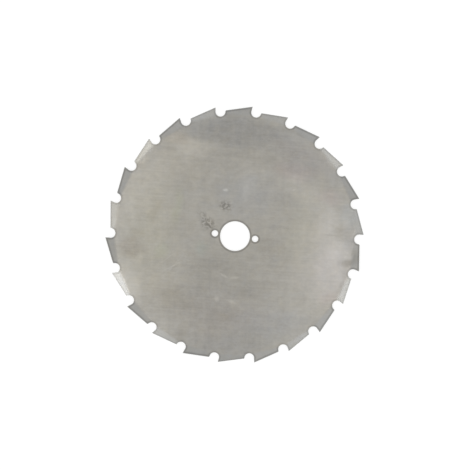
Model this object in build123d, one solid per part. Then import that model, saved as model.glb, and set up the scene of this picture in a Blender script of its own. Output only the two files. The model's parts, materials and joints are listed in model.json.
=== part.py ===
from build123d import *
import os
from math import asin, cos, degrees, radians, sin, sqrt, tan

# A round saw blade for a brush cutter: one flat piece of steel plate, in millimetres.
# The origin is on the bore's axis, at mid-thickness. +Z is the side that is seen first,
# and the two small pin holes lie on the X axis.

# Plate
TIP_RADIUS = 110.0
THICKNESS = 1.8

# Hub holes; the land is the steel left between the bore and a pin hole
BORE_DIAMETER = 25.4
PIN_HOLE_DIAMETER = 5.4
PIN_HOLE_COUNT = 2
PIN_LAND = 1.85
HOLE_EDGE_BREAK = 0.15

# Teeth, seen from +Z: the points look clockwise
TOOTH_COUNT = 22
FIRST_GULLET_ANGLE = 6.43
GULLET_DEPTH = 8.35
GULLET_DIAMETER = 8.3
HOOK_ANGLE = 7.5
CLEARANCE_ANGLE = 15.25
HEEL_RADIUS = 1.0

# Set: every other tooth is bent down, and the ones between are bent up. The bend lines of
# two neighbours meet in the open gullet, a little beyond its bottom
SET_ANGLE = 8.0
BEND_INSIDE_RADIUS = 18.0
BEND_BEYOND_GULLET_BOTTOM = 0.15

# Grinding: the back and the face lean, so that the outer corner of each point cuts
BACK_BEVEL_WIDTH = 0.4
FACE_BEVEL_WIDTH = 0.3
FACE_BEVEL_LENGTH = 2.5

# Values worked out from the ones above
pitch = 360.0 / TOOTH_COUNT
half_thickness = THICKNESS / 2
bore_radius = BORE_DIAMETER / 2
pin_hole_radius = PIN_HOLE_DIAMETER / 2
pin_circle_radius = bore_radius + PIN_LAND + pin_hole_radius
gullet_radius = GULLET_DIAMETER / 2
gullet_bottom_radius = TIP_RADIUS - GULLET_DEPTH
gullet_circle_radius = gullet_bottom_radius + gullet_radius
bend_corner_radius = gullet_bottom_radius + BEND_BEYOND_GULLET_BOTTOM
bend_distance = bend_corner_radius * cos(radians(pitch / 2))
back_distance = TIP_RADIUS * cos(radians(CLEARANCE_ANGLE))


def polar(radius, angle):
    """The point of the XY plane at a radius and an angle in degrees."""
    return Vector(radius * cos(radians(angle)), radius * sin(radians(angle)))


def tip_lead():
    """The angle from a gullet's centre to the point of the tooth behind it."""
    hook_reach = TIP_RADIUS * sin(radians(HOOK_ANGLE)) - gullet_radius
    return HOOK_ANGLE - degrees(asin(hook_reach / gullet_circle_radius))


def tooth_corners():
    """The point, the foot of the face, the outward normal of the back, and the heel.

    They belong to the tooth behind the gullet whose centre lies on the X axis. The face
    is tangent to that gullet, and the straight back runs into the next gullet's wall.
    """
    tip = polar(TIP_RADIUS, tip_lead())
    face_normal = polar(1.0, 90.0 - (HOOK_ANGLE - tip_lead()))
    foot = polar(gullet_circle_radius, 0.0) + face_normal * gullet_radius
    back_normal = polar(1.0, tip_lead() + CLEARANCE_ANGLE)
    back_direction = polar(1.0, tip_lead() + CLEARANCE_ANGLE + 90.0)
    next_gullet = polar(gullet_circle_radius, pitch)
    offset = next_gullet.dot(back_normal) - back_distance
    run = next_gullet.dot(back_direction) - sqrt(gullet_radius**2 - offset**2)
    heel = back_normal * back_distance + back_direction * run
    return tip, foot, back_normal, heel


def toothed_outline():
    """The outline of the plate with its round gullets and straight-backed teeth."""
    tip, foot, back_normal, heel = tooth_corners()
    next_foot = foot.rotate(Axis.Z, pitch)
    next_bottom = polar(gullet_bottom_radius, pitch)
    tooth_edges = [
        Line(foot, tip),
        Line(tip, heel),
        ThreePointArc(heel, next_bottom, next_foot),
    ]
    edges = []
    for index in range(TOOTH_COUNT):
        edges += [Rot(0, 0, index * pitch) * edge for edge in tooth_edges]
    outline = make_face(edges)
    heel_radius = heel.length
    heels = [v for v in outline.vertices() if abs(Vector(v.X, v.Y).length - heel_radius) < 1e-4]
    return fillet(heels, HEEL_RADIUS)


def flat_zone():
    """The many-sided area inside all the bend lines, which stays flat."""
    corners = [polar(bend_corner_radius, index * pitch) for index in range(TOOTH_COUNT)]
    return make_face(Polyline(*corners, close=True))


def tooth_zone():
    """The sector of the first tooth, from its bend line to beyond its point."""
    outer_radius = (TIP_RADIUS + GULLET_DEPTH) / cos(radians(pitch / 2))
    corners = [
        polar(bend_corner_radius, 0.0),
        polar(outer_radius, 0.0),
        polar(outer_radius, pitch),
        polar(bend_corner_radius, pitch),
    ]
    return make_face(Polyline(*corners, close=True))


def bent_strip():
    """A strip as thick as the plate that starts at the bend line and bends down."""
    bend_centre = Vector(bend_distance, -half_thickness - BEND_INSIDE_RADIUS)
    outside_radius = BEND_INSIDE_RADIUS + THICKNESS
    length = GULLET_DEPTH + THICKNESS
    slope = polar(1.0, -SET_ANGLE)
    square_to_slope = polar(1.0, 90.0 - SET_ANGLE)
    top_start = bend_centre + square_to_slope * outside_radius
    top_end = top_start + slope * length
    bottom_start = bend_centre + square_to_slope * BEND_INSIDE_RADIUS
    bottom_end = bottom_start + slope * length
    profile = make_face(
        [
            Line((bend_distance, -half_thickness), (bend_distance, half_thickness)),
            CenterArc(bend_centre, outside_radius, 90.0, -SET_ANGLE),
            Line(top_start, top_end),
            Line(top_end, bottom_end),
            Line(bottom_end, bottom_start),
            CenterArc(bend_centre, BEND_INSIDE_RADIUS, 90.0, -SET_ANGLE),
        ]
    )
    bisector = polar(1.0, pitch / 2)
    upright = Plane(origin=(0, 0, 0), x_dir=bisector, z_dir=bisector.cross(Vector(0, 0, 1)))
    return extrude(upright * profile, amount=TIP_RADIUS * sin(radians(pitch)), both=True)


def set_height(point, side):
    """The height of the bent tooth's upper (side 1) or lower (side -1) surface at a point."""
    angle = radians(SET_ANGLE)
    middle_radius = BEND_INSIDE_RADIUS + half_thickness
    slope_start = bend_distance + middle_radius * sin(angle)
    start_height = -middle_radius * (1.0 - cos(angle))
    beyond = point.dot(polar(1.0, pitch / 2)) - slope_start
    return start_height - beyond * tan(angle) + side * half_thickness / cos(angle)


def on_surface(point, side):
    """The point lifted onto the bent tooth's upper or lower surface."""
    return Vector(point.X, point.Y, set_height(point, side))


def grinding_plane(first, second, third, outward):
    """The plane through three points, with its normal turned towards outward."""
    normal = (second - first).cross(third - first).normalized()
    if normal.dot(outward) < 0:
        normal = normal * -1.0
    return Plane(origin=first, z_dir=normal)


def tooth_bent_down(outline):
    """One tooth beyond its bend line, bent down, with its ground back and face."""
    tip, foot, back_normal, heel = tooth_corners()
    blank = extrude(outline & tooth_zone(), amount=GULLET_DEPTH, both=True)
    tooth = blank & bent_strip()
    back_plane = grinding_plane(
        on_surface(tip, -1),
        on_surface(heel, -1),
        on_surface(tip - back_normal * BACK_BEVEL_WIDTH, 1),
        back_normal,
    )
    tooth = split(tooth, bisect_by=back_plane, keep=Keep.BOTTOM)
    along_back = (heel - tip).normalized()
    along_face = (foot - tip).normalized()
    face_plane = grinding_plane(
        on_surface(tip, -1),
        on_surface(tip + along_back * FACE_BEVEL_WIDTH, 1),
        on_surface(tip + along_face * FACE_BEVEL_LENGTH, 1),
        along_back * -1.0,
    )
    above_foot = Plane(origin=foot, z_dir=along_face * -1.0)
    point = split(tooth, bisect_by=above_foot, keep=Keep.TOP)
    root = split(tooth, bisect_by=above_foot, keep=Keep.BOTTOM)
    return root + split(point, bisect_by=face_plane, keep=Keep.BOTTOM)


def hub_holes():
    """The bore and the pin holes, with their edges broken on both sides."""
    holes = [(polar(0.0, 0.0), bore_radius)]
    for index in range(PIN_HOLE_COUNT):
        centre = polar(pin_circle_radius, index * 360.0 / PIN_HOLE_COUNT)
        holes.append((centre, pin_hole_radius))
    cutters = []
    for centre, radius in holes:
        shaft = Cylinder(radius, 2 * THICKNESS)
        upper = Cone(radius, radius + 2 * HOLE_EDGE_BREAK, 2 * HOLE_EDGE_BREAK)
        flare = Pos(0, 0, half_thickness) * upper
        cutters.append(Pos(centre.X, centre.Y) * (shaft + flare + flare.mirror(Plane.XY)))
    return cutters


def blade():
    """The whole blade: the flat plate, its set teeth all round, and the hub holes."""
    outline = toothed_outline()
    plate = extrude(outline & flat_zone(), amount=half_thickness, both=True)
    down = tooth_bent_down(outline)
    up = down.mirror(Plane.XY)
    teeth = [
        Rot(0, 0, index * pitch) * (down if index % 2 == 0 else up)
        for index in range(TOOTH_COUNT)
    ]
    rim = Rot(0, 0, FIRST_GULLET_ANGLE) * (plate + teeth)
    return rim - hub_holes()


os.makedirs("parts", exist_ok=True)
model = blade()
export_step(model, "parts/blade.step")
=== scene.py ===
import json
from collections import namedtuple
from math import asin, cos, hypot, pi, radians, sin
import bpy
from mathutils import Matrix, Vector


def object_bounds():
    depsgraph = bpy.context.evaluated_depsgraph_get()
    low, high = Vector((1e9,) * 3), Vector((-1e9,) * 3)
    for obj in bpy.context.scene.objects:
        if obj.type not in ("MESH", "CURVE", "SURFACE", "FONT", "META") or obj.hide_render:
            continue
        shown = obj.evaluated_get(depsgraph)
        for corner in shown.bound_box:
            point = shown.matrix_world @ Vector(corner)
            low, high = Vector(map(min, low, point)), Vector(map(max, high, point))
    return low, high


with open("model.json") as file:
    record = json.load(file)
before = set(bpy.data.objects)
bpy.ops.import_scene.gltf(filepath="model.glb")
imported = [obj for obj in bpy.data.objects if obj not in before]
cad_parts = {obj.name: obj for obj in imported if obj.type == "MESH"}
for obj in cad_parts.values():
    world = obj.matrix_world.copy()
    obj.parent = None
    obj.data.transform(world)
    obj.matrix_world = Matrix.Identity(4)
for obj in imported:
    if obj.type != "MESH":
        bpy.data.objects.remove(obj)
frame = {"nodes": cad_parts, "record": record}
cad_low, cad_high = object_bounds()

from types import SimpleNamespace

import bpy
from mathutils import Matrix, Vector

MILLIMETRE = 0.001
WHITE = (1.0, 1.0, 1.0, 1.0)
ORIGIN = (0.0, 0.0, 0.0)

# The photograph's camera, fitted to the blade's round gullets. The picture is square, and
# in it the plate is turned, a little tilted and a little off the centre.
PHOTO_PIXELS = 470
FOCAL_PIXELS = 783.8
SENSOR_WIDTH = 36.0
CAMERA_DISTANCE = 0.6675
PLATE_TILT_ABOUT_X = radians(4.054)
PLATE_TILT_ABOUT_Y = radians(0.437)
PLATE_SHIFT_Y = -0.00094
PLATE_TURN = radians(7.96)

# Floor: what the camera sees is a white glow and, for the shadow, a share of the lit floor
FLOOR_SIZE = 6.0
FLOOR_COLOUR = (0.93, 0.93, 0.93, 1.0)
FLOOR_GLOW = 0.80
FLOOR_LIT_SHARE = 0.25

# Light: an even room and five soft lamps round the blade. A lamp's side is its direction
# in the photograph, in degrees.
ROOM_LEVEL = 0.79
LAMP_OFF_ZENITH = radians(34.0)
LAMP_DISTANCE = 1.6
LAMP_RADIAL_SIZE = 0.40
LAMP_TANGENT_SIZE = 0.52
Lamp = namedtuple("Lamp", "name side radiance")
LAMPS = (
    Lamp("soft_lower_left", 210.0, 6.8),
    Lamp("soft_upper_left", 135.0, 5.8),
    Lamp("soft_upper_right", 30.0, 3.6),
    Lamp("soft_lower_right", 315.0, 2.7),
    Lamp("soft_right", 330.0, 1.5),
)

# The blade's outline, in millimetres. Its radius comes from the mesh, and its holes come
# from the frame's record.
TOOTH_COUNT = 22
PITCH = 2 * pi / TOOTH_COUNT
FIRST_GULLET_ANGLE = radians(6.43)
GULLET_DEPTH = 8.35
GULLET_RADIUS = 4.15
HOOK_ANGLE = radians(7.5)
CLEARANCE_ANGLE = radians(15.25)
BEND_BEYOND_GULLET_BOTTOM = 0.15
BEND_LENGTH = 2.6
Holes = namedtuple("Holes", "bore_radius pin_circle_radius pin_radius")

# The steel's colours, and what warmth and green do to the red, green and blue of them
PLATE_COLOUR = (0.366, 0.3515, 0.3185)
TOOTH_COLOUR = (0.342, 0.338, 0.322)
CUT_COLOUR = (0.300, 0.296, 0.285)
WARM_SHIFT = (0.3, 0.0, -0.7)
GREEN_SHIFT = (-0.3, 0.7, -0.3)

# Where the hub ends, as a radius, and how upright a face's normal is where the faces cut
# through the plate end and the two sides of the plate begin
HUB_BORDER = (24.0, 30.0)
CUT_TO_SIDE = (0.5, 0.8)

# The painted shade along the cut edges, a darker line: where it starts and ends, as a distance from
# the edge, how far it wavers, and how dark it is on the rim, on every other tooth and at the hub
EDGE_LINE_START = (-0.2, 0.7)
EDGE_LINE_END = (0.9, 2.0)
EDGE_LINE_WAVER = 0.12
RIM_LINE_DEPTH = 0.18
ODD_TOOTH_EXTRA = 0.11
HUB_LINE_EXTRA = 0.13

# Grain is soft noise in patches of this length, this width and, on cut faces, this depth
# in millimetres, turned by this angle in degrees. Detail is how many finer layers it has,
# and roughness how strong they are.
GRINDING_ANGLE = 4.0
GRAIN_FIELDS = "length width turn detail roughness depth"
Grain = namedtuple("Grain", GRAIN_FIELDS, defaults=(0.0, 2.0, 0.5, 1.0))
SIDE_GRAINS = {
    "clouds": Grain(38.0, 30.0, detail=3.0),
    "drifts": Grain(20.0, 11.0, 66.0),
    "tints": Grain(52.0, 60.0, 70.0, detail=4.0, roughness=0.6),
    "tint_speckle": Grain(9.0, 7.0, 30.0, detail=5.0, roughness=0.75),
    "mottle": Grain(6.0, 4.0, GRINDING_ANGLE, detail=4.0),
    "speckle": Grain(2.6, 1.7, GRINDING_ANGLE, roughness=0.6),
    "broad_lines": Grain(75.0, 1.8, GRINDING_ANGLE, detail=1.0),
    "fine_lines": Grain(16.0, 0.22, GRINDING_ANGLE),
    "wipes": Grain(60.0, 5.0, 98.0, detail=3.0, roughness=0.6),
    "patches": Grain(34.0, 26.0, 20.0, detail=1.0),
}
TOOTH_HATCH = Grain(5.0, 1.2, 12.0, detail=1.0)
CUT_STRIATIONS = Grain(0.35, 0.35, depth=5.0)
SMUDGE_BLOTS = Grain(2.4, 1.9, detail=1.0)
NOISE_MEAN = 0.5
NOISE_GAIN = 4.0
PATCH_BORDER = (-0.8, 0.8)
BLOT_BORDER = (-0.6, 0.4)

# Each side has its own grain, and each tooth its own hatching, this far apart in the noise
SIDE_SPACING = 50.0
TOOTH_SPACING = 7.0

# How much the grain changes the tone. Of a pair, the first is for the underside and the
# second for the upper side, or the first outside the patches and the second in them.
CLOUD_TONE = (0.09, 0.036)
DRIFT_TONE = 0.028
MOTTLE_TONE = 0.055
SPECKLE_TONE = 0.042
FINE_LINE_TONE = 0.010
BROAD_LINE_TONE = (0.012, 0.038)
WIPE_TONE = (0.042, 0.014)
HATCH_TONE = 0.016
STRIATION_TONE = 0.08

# How much the grain changes the warmth
TINT_WARMTH = 0.022
TINT_SPECKLE_WARMTH = 0.05
WIPE_WARMTH = 0.012

# Roughness of the sides and of the cut faces, and how much the grain changes it
SIDE_ROUGHNESS = 0.38
CUT_ROUGHNESS = 0.42
CLOUD_ROUGHNESS = 0.012
BROAD_LINE_ROUGHNESS = 0.012
MOTTLE_ROUGHNESS = 0.010
STRIATION_ROUGHNESS = 0.03

# Height of the grain, in millimetres
FINE_LINE_RELIEF = 0.0015
BROAD_LINE_RELIEF = 0.001
STRIATION_RELIEF = 0.006

# What is left of the plate's grain, relief and marks on the bent teeth
GRAIN_ON_TEETH = 0.4
RELIEF_ON_TEETH = 0.15
PLATE_MARKS_ON_TEETH = 0.15

# Ragged borders: how long their waves are in millimetres, and how far they reach
Wobble = namedtuple("Wobble", "length reach")
BROAD_WOBBLE = Wobble(26.0, 14.0)
SMALL_WOBBLE = Wobble(5.0, 3.0)
SMUDGE_WOBBLE = Wobble(4.0, 5.0)
WOBBLE_DETAIL = 3.0

# Marks on the upper side: stains, scratches, painted sheen and painted shade. A mark is a
# soft ellipse: its centre and half sizes in millimetres, its turn in degrees, how much of it
# is a soft border, and by what share it makes the steel lighter, warmer or greener.
MARK_FIELDS = "x y length width turn softness tone warmth green"
Mark = namedtuple("Mark", MARK_FIELDS, defaults=(0.0, 0.0))
# Broad areas of painted sheen and painted shade, and faint tints of handling and old oil
BROAD_MARKS_AND_PAINTED_LIGHT = (
    # Lighter areas: painted sheen of reflected light
    Mark(92, -2, 58, 62, 0, 1.0, 0.23, 0.0, -0.01),
    Mark(76, 24, 14, 21, 15, 0.9, 0.11, -0.01),
    Mark(86, -18, 18, 34, 0, 0.6, 0.10, -0.01, -0.01),
    Mark(-85, 32, 42, 52, 0, 1.0, 0.12, 0.02),
    Mark(-86, -54, 30, 17, -58, 0.9, 0.21),
    Mark(-46, 70, 24, 13, 8, 0.8, 0.11, 0.03),
    Mark(52, 46, 30, 13, -16, 0.9, 0.11, 0.02),
    Mark(4, 45, 10, 23, 0, 0.9, 0.08, -0.02),
    Mark(62, 0, 36, 95, 0, 1.0, 0.07),
    Mark(58, 34, 20, 22, 0, 1.0, 0.06),
    Mark(-99, 2, 12, 16, 0, 0.9, 0.04, 0.01),
    Mark(-91, 14, 8, 12, 0, 0.9, 0.05),
    Mark(-60, 2, 8, 18, 0, 0.9, 0.04),
    Mark(78, -42, 16, 22, 0, 0.9, 0.055),
    Mark(86, 0, 11, 11, 0, 0.8, 0.07, -0.01),
    Mark(6, 101, 22, 7, 0, 0.9, 0.05),
    # Darker areas: painted shade, and dirt
    Mark(-14, 89, 58, 17, -2, 0.6, -0.16, -0.05),
    Mark(48, 74, 44, 15, -22, 0.8, -0.05, -0.03, -0.01),
    Mark(0, -72, 66, 36, 0, 1.0, -0.10, 0.0, -0.01),
    Mark(-42, -62, 30, 18, 0, 0.9, -0.10, 0.03),
    Mark(20, -46, 26, 12, 0, 0.9, -0.11),
    Mark(-12, -30, 44, 34, 0, 1.0, -0.12),
    Mark(26, -84, 30, 14, 0, 0.9, -0.06, -0.01),
    Mark(0, -96, 50, 14, 0, 0.9, -0.08, -0.05),
    Mark(99, 8, 9, 12, 0, 0.9, -0.14, -0.05),
    Mark(56, 4, 22, 14, 0, 0.9, -0.06),
    Mark(-82, -9, 10, 6, 8, 0.9, -0.05, 0.03),
    Mark(-71, 13, 7, 14, 0, 0.9, -0.05, 0.03),
    Mark(-8, 68, 28, 7, 0, 0.9, -0.06),
    Mark(-50, 80, 18, 8, 0, 0.9, -0.05),
    Mark(-2, -69, 21, 7, 0, 0.9, -0.05, 0.02),
    Mark(30, -4, 17, 13, 0, 0.9, -0.09, 0.01),
    Mark(-86, -21, 15, 11, 0, 0.7, -0.13, 0.03, -0.01),
    Mark(90, 15, 10, 9, 0, 0.8, -0.12, 0.01),
    # Faint tints of handling and old oil
    Mark(2, 36, 40, 27, 0, 0.8, 0.0, -0.06),
    Mark(42, -70, 44, 20, 8, 0.8, 0.02, -0.06),
    Mark(-72, -6, 34, 66, 0, 0.9, 0.0, 0.05, 0.01),
    Mark(-60, -20, 10, 10, 0, 0.8, 0.01, 0.02, 0.03),
    Mark(-51, 18, 6, 22, 0, 0.8, 0.0, 0.03, 0.03),
    Mark(-58, 78, 14, 8, 10, 0.8, 0.0, 0.06, -0.01),
    Mark(41, 62, 24, 11, -8, 0.8, 0.0, 0.02, -0.03),
    Mark(75, 43, 14, 9, -10, 0.8, 0.0, 0.01, -0.03),
    Mark(87, -40, 12, 9, 0, 0.8, 0.0, 0.03, -0.02),
    Mark(-28, -13, 9, 9, 0, 0.8, 0.0, -0.04, 0.03),
    Mark(96, 32, 13, 18, 0, 0.8, 0.0, -0.09, 0.01),
    Mark(55, 12, 22, 46, 0, 0.9, 0.0, 0.03, 0.01),
    Mark(-55, 50, 30, 22, 0, 0.8, 0.0, 0.03),
    Mark(-56, -52, 26, 22, 0, 0.8, 0.0, 0.03),
    Mark(34, 92, 24, 10, 0, 0.8, 0.0, -0.04),
    Mark(80, 58, 12, 12, 0, 0.8, 0.0, -0.05),
    Mark(92, 0, 26, 60, 0, 1.0, 0.0, -0.035, 0.005),
    Mark(30, -84, 45, 14, 0, 0.9, 0.0, -0.02, 0.005),
    Mark(-20, 84, 16, 10, 0, 0.9, 0.0, 0.03),
)
SMALL_MARKS_AND_BEND_LIGHT = (
    # Spots and short strokes, lighter and darker
    Mark(-13.4, 37.9, 3.0, 2.0, 5, 0.8, 0.34),
    Mark(-5.0, -34.5, 5.0, 1.6, -26, 0.9, 0.19, 0.01),
    Mark(4.5, -35.5, 6.0, 1.8, 10, 0.9, 0.15),
    Mark(-8.0, -55.0, 3.4, 4.0, 0, 0.9, 0.18),
    Mark(4.8, -56.0, 6.5, 2.0, -8, 0.9, 0.17),
    Mark(47.0, 57.5, 20.0, 2.4, -6, 0.9, 0.08),
    Mark(10.5, 56.5, 14.0, 1.8, 8, 0.9, 0.05),
    Mark(76.5, 46.5, 11.0, 1.3, 2, 0.9, 0.07, 0.01),
    Mark(22.0, 42.3, 11.0, 1.0, 1, 0.9, 0.05),
    Mark(44.0, 46.0, 2.0, 1.3, 40, 0.8, 0.12),
    Mark(81.0, 12.0, 8.0, 1.2, 0, 0.9, -0.12),
    Mark(96.5, -33.0, 11.0, 2.4, 83, 0.8, -0.16, 0.02),
    Mark(98.5, -9.5, 11.0, 5.0, 10, 0.8, -0.30, 0.03),
    Mark(84.0, 19.0, 9.0, 2.4, -8, 0.9, -0.07, 0.02),
    # Thin scratches that cross each other
    Mark(-48.0, -32.0, 17.0, 0.8, 33, 0.9, 0.10),
    Mark(-55.0, -27.0, 10.0, 0.7, 41, 0.9, 0.085),
    Mark(-38.0, -27.0, 9.0, 0.6, 28, 0.9, 0.085),
    Mark(-48.0, -31.5, 15.0, 0.7, 54, 0.9, 0.09),
    # Lighter wiped patches
    Mark(-5.0, -36.0, 17.0, 6.5, -10, 0.9, 0.09),
    Mark(43.0, 54.5, 14.0, 4.0, 0, 0.9, 0.07),
    Mark(-31.0, 95.0, 14.0, 5.5, 12, 0.9, 0.08),
    Mark(-27.0, 43.0, 27.0, 6.5, 68, 0.9, 0.055),
    Mark(5.0, 63.0, 6.0, 5.0, 0, 0.9, 0.05),
    Mark(4.0, 37.0, 5.0, 13.0, 0, 0.9, 0.05),
    Mark(20.0, 82.0, 9.0, 6.0, 0, 0.9, 0.045),
    Mark(90.0, 8.0, 10.0, 4.0, -24, 0.8, 0.07),
    Mark(96.0, -2.0, 3.5, 8.0, 0, 0.8, 0.07),
    Mark(85.0, 19.0, 4.0, 6.0, -20, 0.8, 0.06),
    Mark(8.0, -41.0, 6.0, 4.0, 0, 0.8, 0.06),
    Mark(-23.0, 98.0, 5.0, 3.5, 0, 0.8, 0.07),
    Mark(-50.0, -84.0, 8.0, 8.0, 0, 0.9, 0.045),
    Mark(-90.0, 8.0, 7.0, 9.0, 0, 0.9, 0.07),
    Mark(-66.0, -18.0, 6.0, 9.0, 0, 0.9, 0.05),
    Mark(-77.0, -27.0, 6.0, 7.0, 0, 0.9, 0.04),
    Mark(72.0, -56.0, 26.0, 9.0, -10, 0.9, 0.04),
    Mark(89.0, -46.0, 4.0, 8.0, -28, 0.8, 0.06),
    Mark(69.0, 76.0, 13.0, 3.5, -50, 0.8, 0.06),
    Mark(-58.0, 54.0, 8.0, 5.0, 0, 0.9, 0.04),
    Mark(31.0, 53.0, 32.0, 3.4, 0, 0.9, 0.055),
    # Painted highlights and painted shade along the bends of some teeth
    Mark(-87.8, -52.7, 18.0, 1.9, -59, 0.9, 0.27),
    Mark(101.6, -0.6, 9.0, 1.8, 88, 0.9, -0.20),
    Mark(97.1, 25.8, 12.0, 3.6, -75, 0.9, -0.085),
    Mark(94.4, -30.9, 12.0, 1.6, 72, 0.9, -0.07),
    Mark(97.1, -31.2, 11.0, 1.6, 72, 0.9, 0.13),
    Mark(-79.8, 62.1, 5.0, 2.0, 56, 0.9, 0.11),
    Mark(-85.6, 52.7, 4.5, 2.0, 56, 0.9, 0.10),
    Mark(-86.6, 55.8, 8.0, 1.6, 56, 0.9, -0.13),
    Mark(-60.3, 82.7, 6.0, 2.4, 39, 0.9, -0.11),
    Mark(44.4, 92.1, 9.0, 2.0, -26, 0.9, -0.10),
    Mark(-102.1, -1.9, 5.0, 1.8, 88, 0.9, 0.09),
    # Darker dabs
    Mark(20.0, 68.5, 12.0, 6.0, 0, 0.9, -0.07),
    Mark(-2.0, 73.5, 18.0, 3.5, 0, 0.9, -0.05),
    Mark(-37.0, 77.0, 13.0, 4.5, 0, 0.9, -0.08),
    Mark(84.0, 36.0, 9.0, 6.0, 0, 0.9, -0.06),
    Mark(96.0, 18.0, 6.0, 9.0, 0, 0.9, -0.07),
    Mark(97.0, -18.5, 4.5, 9.0, 0, 0.8, -0.14),
    Mark(-38.0, -96.0, 7.0, 4.0, 0, 0.9, -0.06),
    Mark(-34.0, -89.0, 9.0, 9.0, 0, 0.9, -0.12, 0.02),
    Mark(-87.0, -28.0, 8.0, 4.5, 0, 0.9, -0.08, 0.02),
    Mark(-90.0, 35.0, 12.0, 5.5, 8, 0.9, -0.055),
    Mark(-64.0, 65.0, 9.0, 6.0, -30, 0.9, -0.06),
    Mark(-58.0, 83.0, 9.0, 4.0, 22, 0.9, -0.05),
    Mark(33.0, -35.0, 11.0, 4.5, 0, 0.9, -0.055),
    Mark(34.0, 12.0, 13.0, 7.0, 0, 0.9, -0.04),
    Mark(43.0, -7.0, 9.0, 6.0, 0, 0.9, -0.04),
    Mark(37.0, 94.0, 13.0, 4.0, -14, 0.9, -0.05),
    Mark(5.0, -97.0, 8.0, 4.0, 0, 0.9, -0.06),
    Mark(-3.0, -81.0, 14.0, 4.5, 0, 0.9, -0.04),
    Mark(-24.0, -51.0, 10.0, 8.0, 0, 0.9, -0.04),
    Mark(75.5, -21.0, 6.0, 2.0, 35, 0.9, -0.05),
)
TOOTH_PAINTED_LIGHT = (
    # Painted highlights and painted shade: bent teeth that catch more light or less than their
    # neighbours
    Mark(87.5, -60.0, 20.0, 13.0, 55, 0.4, 0.13),
    Mark(41.0, -98.0, 20.0, 11.0, 23, 0.4, 0.09),
    Mark(-72.0, -78.0, 20.0, 11.0, -43, 0.4, 0.05, 0.02),
    Mark(90.0, 55.0, 20.0, 12.0, -59, 0.4, -0.05, -0.02),
    Mark(-104.0, -28.0, 12.0, 20.0, 15, 0.4, -0.05, 0.02),
    Mark(103.5, -4.5, 5.5, 8.0, 10, 0.8, -0.14, 0.03),
    Mark(-106.0, 3.0, 12.0, 20.0, -2, 0.4, 0.07, 0.05),
    Mark(-87.5, 60.0, 20.0, 12.0, 56, 0.4, 0.04, 0.06),
    Mark(18.0, 104.5, 20.0, 12.0, -10, 0.4, 0.06),
    Mark(102.5, 27.0, 12.0, 20.0, 15, 0.4, -0.045),
    Mark(-41.0, 98.0, 20.0, 11.0, 23, 0.4, -0.035),
    Mark(100.0, -32.5, 12.0, 20.0, -18, 0.4, 0.045),
    Mark(-46.5, -94.0, 12.0, 20.0, 64, 0.4, 0.035),
    Mark(66.5, -81.5, 12.0, 20.0, -51, 0.4, -0.025),
    Mark(-12.0, 104.0, 12.0, 20.0, 96, 0.4, -0.03),
    Mark(-100.0, 32.5, 12.0, 20.0, -18, 0.4, -0.03),
    Mark(-18.0, -103.5, 12.0, 20.0, 80, 0.4, -0.03),
)
HUB_SMUDGES = (
    # Dark smudges beside the bore
    Mark(-11.5, 24.0, 7.5, 6.0, -12, 0.7, -0.38, 0.02),
    Mark(-24.5, 8.0, 9.5, 7.5, -25, 0.8, -0.44, 0.03),
    Mark(-30.0, 15.0, 5.5, 3.0, 0, 0.9, -0.26, 0.02),
)


def make_camera():
    """The camera at the photograph's place: above the blade, turned about its axis."""
    data = bpy.data.cameras.new("camera")
    data.sensor_width = SENSOR_WIDTH
    data.lens = FOCAL_PIXELS / PHOTO_PIXELS * SENSOR_WIDTH
    camera = bpy.data.objects.new("camera", data)
    bpy.context.scene.collection.objects.link(camera)
    tilt = hypot(PLATE_TILT_ABOUT_X, PLATE_TILT_ABOUT_Y)
    tilt_axis = Vector((PLATE_TILT_ABOUT_X, PLATE_TILT_ABOUT_Y, 0.0)).normalized()
    untilt = Matrix.Rotation(-tilt, 4, tilt_axis)
    stand = Matrix.Translation((0.0, -PLATE_SHIFT_Y, CAMERA_DISTANCE))
    turn = Matrix.Rotation(PLATE_TURN, 4, "Z")
    camera.matrix_world = turn @ untilt @ stand
    bpy.context.scene.camera = camera


def make_lamp(lamp):
    """A soft lamp, an oval that shines straight at the blade's centre."""
    data = bpy.data.lights.new(lamp.name, "AREA")
    data.shape = "ELLIPSE"
    data.size = LAMP_RADIAL_SIZE
    data.size_y = LAMP_TANGENT_SIZE
    area = pi * LAMP_RADIAL_SIZE * LAMP_TANGENT_SIZE / 4
    data.energy = lamp.radiance * pi * area
    holder = bpy.data.objects.new(lamp.name, data)
    bpy.context.scene.collection.objects.link(holder)
    side = radians(lamp.side) + PLATE_TURN
    outward = sin(LAMP_OFF_ZENITH)
    towards = Vector((outward * cos(side), outward * sin(side), cos(LAMP_OFF_ZENITH)))
    sideways = Vector((-sin(side), cos(side), 0.0))
    holder.location = towards * LAMP_DISTANCE
    holder.rotation_mode = "QUATERNION"
    axes = Matrix((sideways.cross(towards), sideways, towards)).transposed()
    holder.rotation_quaternion = axes.to_quaternion()


class Field:
    """A number that varies over the surface; arithmetic with it adds maths nodes."""

    def __init__(self, graph, socket):
        self.graph = graph
        self.socket = socket

    def apply(self, operation, *others):
        """What a maths node makes of this field and the others."""
        values = enumerate((self, *others))
        return self.graph.field("ShaderNodeMath", values, operation=operation)

    def __add__(self, other):
        return self.apply("ADD", other)

    def __sub__(self, other):
        return self.apply("SUBTRACT", other)

    def __mul__(self, other):
        return self.apply("MULTIPLY", other)

    def __truediv__(self, other):
        return self.apply("DIVIDE", other)

    def __rsub__(self, other):
        return self.apply("MULTIPLY_ADD", -1.0, other)

    __radd__ = __add__
    __rmul__ = __mul__

    def lowest(self, other):
        return self.apply("MINIMUM", other)

    def length_with(self, other):
        return (self * self + other * other).apply("SQRT")

    def mix(self, other, share):
        """This field where share is 0, and the other one where it is 1."""
        return self + (other - self) * share

    def between(self, low, high):
        """The first number where this field is 0, and the second one where it is 1."""
        return self * (high - low) + low

    def ramp(self, start, end):
        """A smooth step from 0 at start to 1 at end."""
        ends = {"Value": self, "From Min": start, "From Max": end}
        return self.graph.field("ShaderNodeMapRange", ends, interpolation_type="SMOOTHSTEP")


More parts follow.
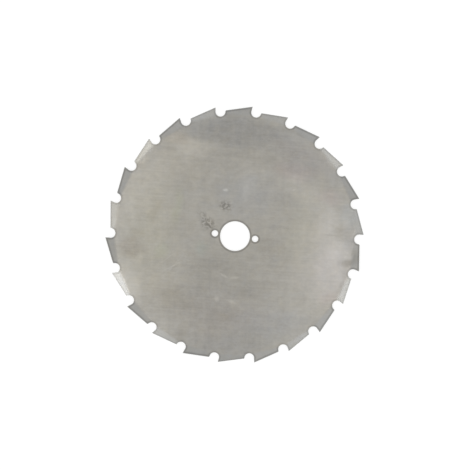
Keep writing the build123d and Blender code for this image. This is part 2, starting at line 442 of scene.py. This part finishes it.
class Graph:
    """A short way to write a material's nodes."""

    def __init__(self, tree):
        self.tree = tree
        tree.nodes.clear()

    def node(self, kind, inputs=(), **settings):
        node = self.tree.nodes.new(kind)
        for key, value in settings.items():
            setattr(node, key, value)
        for key, value in dict(inputs).items():
            self.put(node.inputs[key], value)
        return node

    def put(self, socket, value):
        if isinstance(value, Field):
            value = value.socket
        if isinstance(value, bpy.types.NodeSocket):
            self.tree.links.new(value, socket)
        else:
            socket.default_value = value

    def field(self, kind, inputs=(), output=0, **settings):
        return Field(self, self.node(kind, inputs, **settings).outputs[output])

    def vector(self, x, y, z):
        return self.node("ShaderNodeCombineXYZ", {"X": x, "Y": y, "Z": z}).outputs[0]

    def parts(self, vector):
        """The x, y and z of a vector."""
        split = self.node("ShaderNodeSeparateXYZ", {"Vector": vector})
        return [Field(self, socket) for socket in split.outputs]

    def vector_maths(self, operation, *values):
        return self.node("ShaderNodeVectorMath", enumerate(values), operation=operation).outputs[0]

    def placed(self, point, centre, turn, size):
        """The point in a frame with that centre and turn, as shares of that size."""
        place = {
            "Vector": point,
            "Location": centre,
            "Rotation": (0.0, 0.0, radians(turn)),
            "Scale": size,
        }
        return self.node("ShaderNodeMapping", place, vector_type="TEXTURE").outputs[0]

    def noise(self, point, grain):
        """Soft noise about 0, mostly within -1 and 1."""
        size = (grain.length, grain.width, grain.depth)
        settings = {
            "Vector": self.placed(point, ORIGIN, grain.turn, size),
            "Scale": 1.0,
            "Detail": grain.detail,
            "Roughness": grain.roughness,
        }
        return (self.field("ShaderNodeTexNoise", settings) - NOISE_MEAN) * NOISE_GAIN


def new_material(name):
    material = bpy.data.materials.new(name)
    material.use_nodes = True
    return material, Graph(material.node_tree)


def surface_point(g):
    """The surface's x, y and z in millimetres, and how much its normal points up."""
    at = g.node("ShaderNodeTexCoord").outputs["Object"]
    x, y, z = [part / MILLIMETRE for part in g.parts(at)]
    normal = g.node("ShaderNodeNewGeometry").outputs["True Normal"]
    upward = g.parts(normal)[2]
    return x, y, z, upward


def rim_distance(u, v, tip_radius):
    """How far a point of the plate is from the tooth's back, its face and the gullets."""
    gullet_centre = tip_radius - GULLET_DEPTH + GULLET_RADIUS
    hook_reach = tip_radius * sin(HOOK_ANGLE) - GULLET_RADIUS
    tip_lead = HOOK_ANGLE - asin(hook_reach / gullet_centre)
    back_normal = tip_lead + CLEARANCE_ANGLE
    back_distance = tip_radius * cos(CLEARANCE_ANGLE)
    back = back_distance - (u * cos(back_normal) + v * sin(back_normal))

    face_normal = pi / 2 - HOOK_ANGLE + tip_lead
    from_gullet = u - gullet_centre
    gullet = from_gullet.length_with(v) - GULLET_RADIUS
    face = from_gullet * cos(face_normal) + v * sin(face_normal) - GULLET_RADIUS
    beyond_foot = from_gullet * sin(face_normal) - v * cos(face_normal)
    front = gullet.mix(face, beyond_foot.apply("GREATER_THAN", 0.0))

    to_next_u = u - gullet_centre * cos(PITCH)
    to_next_v = v - gullet_centre * sin(PITCH)
    next_gullet = to_next_u.length_with(to_next_v) - GULLET_RADIUS
    return back.lowest(front).lowest(next_gullet)


def hole_distance(x, y, holes):
    """How far a point of the plate is from the bore and the pin holes."""
    bore = x.length_with(y) - holes.bore_radius
    from_pin = x.apply("ABSOLUTE") - holes.pin_circle_radius
    pin_hole = from_pin.length_with(y) - holes.pin_radius
    return bore.lowest(pin_hole)


Plan = namedtuple("Plan", "edge past_bend across_tooth tooth")


def blade_plan(x, y, tip_radius, holes):
    """Distances over the blade's plan, and the number of the tooth.

    They are the ones to the nearest cut edge, past the bend line and across the tooth.
    Each tooth is measured in the frame of the gullet before it, as the outline is drawn:
    u runs out through that gullet's centre, and v runs towards the next gullet.
    """
    phase = y.apply("ARCTAN2", x) / PITCH - FIRST_GULLET_ANGLE / PITCH
    tooth = phase.apply("FLOOR")
    angle = (phase - tooth) * PITCH
    radius = x.length_with(y)
    u = radius * angle.apply("COSINE")
    v = radius * angle.apply("SINE")
    edge = rim_distance(u, v, tip_radius).lowest(hole_distance(x, y, holes))
    bend_corner = tip_radius - GULLET_DEPTH + BEND_BEYOND_GULLET_BOTTOM
    past_bend = u * cos(PITCH / 2) + v * sin(PITCH / 2) - bend_corner * cos(PITCH / 2)
    across_tooth = v * cos(PITCH / 2) - u * sin(PITCH / 2)
    return Plan(edge, past_bend, across_tooth, tooth)


Zones = namedtuple("Zones", "top cut hub bent")


def steel_zones(x, y, upward, plan):
    """The upper side, the cut faces, the hub and the bent teeth, each 1 inside and 0 outside."""
    top = upward.apply("GREATER_THAN", 0.0)
    cut = 1.0 - upward.apply("ABSOLUTE").ramp(*CUT_TO_SIDE)
    hub = 1.0 - x.length_with(y).ramp(*HUB_BORDER)
    bent = plan.past_bend.ramp(0.0, BEND_LENGTH)
    return Zones(top, cut, hub, bent)


def mark_mask(g, point, mark):
    """A mark's shape: 0 outside it, and 1 inside its soft border."""
    size = (mark.length, mark.width, 1.0)
    place = g.placed(point, (mark.x, mark.y, 0.0), mark.turn, size)
    inside = g.field("ShaderNodeTexGradient", {"Vector": place}, "Fac", gradient_type="SPHERICAL")
    return inside.ramp(0.0, mark.softness)


def add_marks(g, point, marks, looks=(0.0, 0.0, 0.0)):
    """The tone, the warmth and the green with these marks added."""
    for mark in marks:
        mask = mark_mask(g, point, mark)
        shares = (mark.tone, mark.warmth, mark.green)
        looks = [look + mask * share if share else look for look, share in zip(looks, shares)]
    return looks


def wobbled(g, point, wobble):
    """The point moved about a little, so that what is drawn there gets a ragged border."""
    size = (wobble.length, wobble.length, 1.0)
    place = g.placed(point, ORIGIN, 0.0, size)
    noise = g.node("ShaderNodeTexNoise", {"Vector": place, "Scale": 1.0, "Detail": WOBBLE_DETAIL})
    mean = (NOISE_MEAN, NOISE_MEAN, NOISE_MEAN)
    shift = g.vector_maths("SUBTRACT", noise.outputs["Color"], mean)
    return g.vector_maths("MULTIPLY_ADD", shift, (wobble.reach, wobble.reach, 0.0), point)


def plate_marks_and_painted_light(g, point):
    """What the plate's marks, painted sheen and painted shade add to the tone, the warmth and the
    green.
    """
    looks = add_marks(g, wobbled(g, point, BROAD_WOBBLE), BROAD_MARKS_AND_PAINTED_LIGHT)
    looks = add_marks(g, wobbled(g, point, SMALL_WOBBLE), SMALL_MARKS_AND_BEND_LIGHT, looks)
    smudges = add_marks(g, wobbled(g, point, SMUDGE_WOBBLE), HUB_SMUDGES)
    blots = g.noise(point, SMUDGE_BLOTS).ramp(*BLOT_BORDER)
    return [look + smudge * blots for look, smudge in zip(looks, smudges)]


def marks_and_painted_light(g, x, y, zones):
    """What all the marks, painted sheen, painted shade and painted tooth highlights add to the
    tone, the warmth and the green, on the upper side.
    """
    point = g.vector(x, y, 0.0)
    plate_share = zones.top * zones.bent.between(1.0, PLATE_MARKS_ON_TEETH)
    painted_tooth_light_share = zones.top * zones.bent
    on_plate = plate_marks_and_painted_light(g, point)
    painted_tooth_light = add_marks(g, point, TOOTH_PAINTED_LIGHT)
    return [plate * plate_share + tooth * painted_tooth_light_share for plate, tooth in zip(on_plate, painted_tooth_light)]


def side_grains(g, x, y, zones):
    """The noise of every kind of grain on the plate's two sides."""
    on_side = g.vector(x, y, zones.top * SIDE_SPACING)
    noises = {name: g.noise(on_side, grain) for name, grain in SIDE_GRAINS.items()}
    return SimpleNamespace(**noises)


def tooth_hatch(g, plan, zones):
    """Short grinding marks that run out along the bent teeth, different on each one."""
    spacing = plan.tooth * TOOTH_SPACING + zones.top * SIDE_SPACING
    on_tooth = g.vector(plan.past_bend, plan.across_tooth, spacing)
    return g.noise(on_tooth, TOOTH_HATCH) * HATCH_TONE


def grain_tone(g, grains, plan, zones):
    """What clouds, speckle, grinding lines and wipes add to the tone."""
    clouding = grains.clouds * zones.top.between(*CLOUD_TONE) + grains.drifts * DRIFT_TONE
    speckle = grains.mottle * MOTTLE_TONE + grains.speckle * SPECKLE_TONE
    fine = (speckle + grains.fine_lines * FINE_LINE_TONE) * zones.bent.between(1.0, GRAIN_ON_TEETH)
    patches = grains.patches.ramp(*PATCH_BORDER)
    lines = grains.broad_lines * patches.between(*BROAD_LINE_TONE)
    wipes = grains.wipes * patches.between(*WIPE_TONE)
    return clouding + fine + (lines + wipes).mix(tooth_hatch(g, plan, zones), zones.bent)


def grain_warmth(grains):
    """What tints and wipes add to the warmth."""
    tints = grains.tints * TINT_WARMTH + grains.tint_speckle * TINT_SPECKLE_WARMTH
    return tints + grains.wipes * WIPE_WARMTH


def edge_shade(grains, plan, zones):
    """What the painted shade along the cut edges, a darker line, leaves of the tone."""
    inset = plan.edge + grains.mottle * EDGE_LINE_WAVER
    line = inset.ramp(*EDGE_LINE_START) * (1.0 - inset.ramp(*EDGE_LINE_END))
    odd_tooth = plan.tooth.apply("FLOORED_MODULO", 2.0) * zones.bent
    depth = odd_tooth * ODD_TOOTH_EXTRA + zones.hub * HUB_LINE_EXTRA + RIM_LINE_DEPTH
    return 1.0 - line * depth


def steel_colour(g, tone, warmth, green, zones):
    """The steel's colour: plate, tooth or cut face, made lighter, warmer or greener."""
    channels = []
    mixtures = zip(PLATE_COLOUR, TOOTH_COLOUR, CUT_COLOUR, WARM_SHIFT, GREEN_SHIFT)
    for plate, tooth, cut_face, warm_shift, green_shift in mixtures:
        side = zones.bent.between(plate, tooth)
        tint = warmth * warm_shift + green * green_shift + 1.0
        channels.append((side * tint * tone).mix(cut_face, zones.cut))
    colour = zip(("Red", "Green", "Blue"), channels)
    return g.node("ShaderNodeCombineColor", colour).outputs[0]


def steel_roughness(grains, striations, zones):
    """A satin surface, a little uneven, and somewhat rougher on the cut faces."""
    lines = grains.clouds * CLOUD_ROUGHNESS + grains.broad_lines * BROAD_LINE_ROUGHNESS
    side = lines + grains.mottle * MOTTLE_ROUGHNESS + SIDE_ROUGHNESS
    return side.mix(striations * STRIATION_ROUGHNESS + CUT_ROUGHNESS, zones.cut)


def steel_normal(g, grains, striations, zones):
    """Fine grinding lines on the sides, and striations across the cut faces."""
    lines = grains.fine_lines * FINE_LINE_RELIEF + grains.broad_lines * BROAD_LINE_RELIEF
    side = lines * zones.bent.between(1.0, RELIEF_ON_TEETH)
    relief = side.mix(striations * STRIATION_RELIEF, zones.cut)
    return g.node("ShaderNodeBump", {"Height": relief, "Distance": MILLIMETRE}).outputs[0]


def steel_material(tip_radius, holes):
    """Sheet steel ground in one direction, handled and stained, with painted sheen and shade on its
    upper side, and darker cut edges whose dark line is painted shade.
    """
    material, g = new_material("ground_steel")
    x, y, z, upward = surface_point(g)
    plan = blade_plan(x, y, tip_radius, holes)
    zones = steel_zones(x, y, upward, plan)
    grains = side_grains(g, x, y, zones)
    striations = g.noise(g.vector(x, y, z), CUT_STRIATIONS)

    # The marks carry painted sheen, painted shade and painted highlights on the teeth
    marks, warmth, green = marks_and_painted_light(g, x, y, zones)
    side_tone = (marks + grain_tone(g, grains, plan, zones) + 1.0) * edge_shade(grains, plan, zones)
    tone = side_tone.mix(striations * STRIATION_TONE + 1.0, zones.cut)
    shades = {
        "Base Color": steel_colour(g, tone, warmth + grain_warmth(grains), green, zones),
        "Metallic": 1.0,
        "Roughness": steel_roughness(grains, striations, zones),
        "Normal": steel_normal(g, grains, striations, zones),
    }
    shader = g.node("ShaderNodeBsdfPrincipled", shades)
    g.node("ShaderNodeOutputMaterial", {"Surface": shader.outputs[0]})
    return material


def floor_material():
    """White to the camera and in reflections, and a plain pale floor to the lamps."""
    material, g = new_material("floor_white")
    path = g.node("ShaderNodeLightPath").outputs
    seen = Field(g, path["Is Camera Ray"]) + Field(g, path["Is Glossy Ray"])
    seen = (seen + Field(g, path["Is Transmission Ray"])).lowest(1.0)
    lit = g.node("ShaderNodeBsdfDiffuse", {"Color": FLOOR_COLOUR}).outputs[0]
    strength = FLOOR_GLOW / (1.0 - FLOOR_LIT_SHARE)
    glow = g.node("ShaderNodeEmission", {"Strength": strength}).outputs[0]
    shown = g.node("ShaderNodeMixShader", {0: FLOOR_LIT_SHARE, 1: glow, 2: lit}).outputs[0]
    both = g.node("ShaderNodeMixShader", {0: seen, 1: lit, 2: shown}).outputs[0]
    g.node("ShaderNodeOutputMaterial", {"Surface": both})
    return material


def make_floor(height):
    """A large square floor at that height."""
    half = FLOOR_SIZE / 2
    corners = [(half * x, half * y, height) for x, y in ((-1, -1), (1, -1), (1, 1), (-1, 1))]
    mesh = bpy.data.meshes.new("floor")
    mesh.from_pydata(corners, [], [(0, 1, 2, 3)])
    mesh.materials.append(floor_material())
    floor = bpy.data.objects.new("floor", mesh)
    bpy.context.scene.collection.objects.link(floor)


def make_world():
    """An evenly lit room with nothing in it."""
    world = bpy.data.worlds.new("studio")
    world.use_nodes = True
    g = Graph(world.node_tree)
    room = g.node("ShaderNodeBackground", {"Color": WHITE, "Strength": ROOM_LEVEL})
    g.node("ShaderNodeOutputWorld", {"Surface": room.outputs[0]})
    bpy.context.scene.world = world


def dress_blade(blade):
    """Gives the blade its steel, fitted to its mesh's radius and the record's hole sizes."""
    mounts = {mount["name"]: mount["dims"] for mount in frame["record"]["mounts"]}
    pins = mounts["pin_holes"]
    holes = Holes(mounts["arbor_bore"]["r_mm"], pins["pcd_mm"] / 2, pins["hole_r_mm"])
    tip_radius = max(vertex.co.xy.length for vertex in blade.data.vertices) / MILLIMETRE
    blade.data.materials.clear()
    blade.data.materials.append(steel_material(tip_radius, holes))


make_camera()
make_world()
make_floor(cad_low.z)
for lamp in LAMPS:
    make_lamp(lamp)
dress_blade(frame["nodes"]["blade"])

bpy.context.scene.view_settings.view_transform = "Standard"
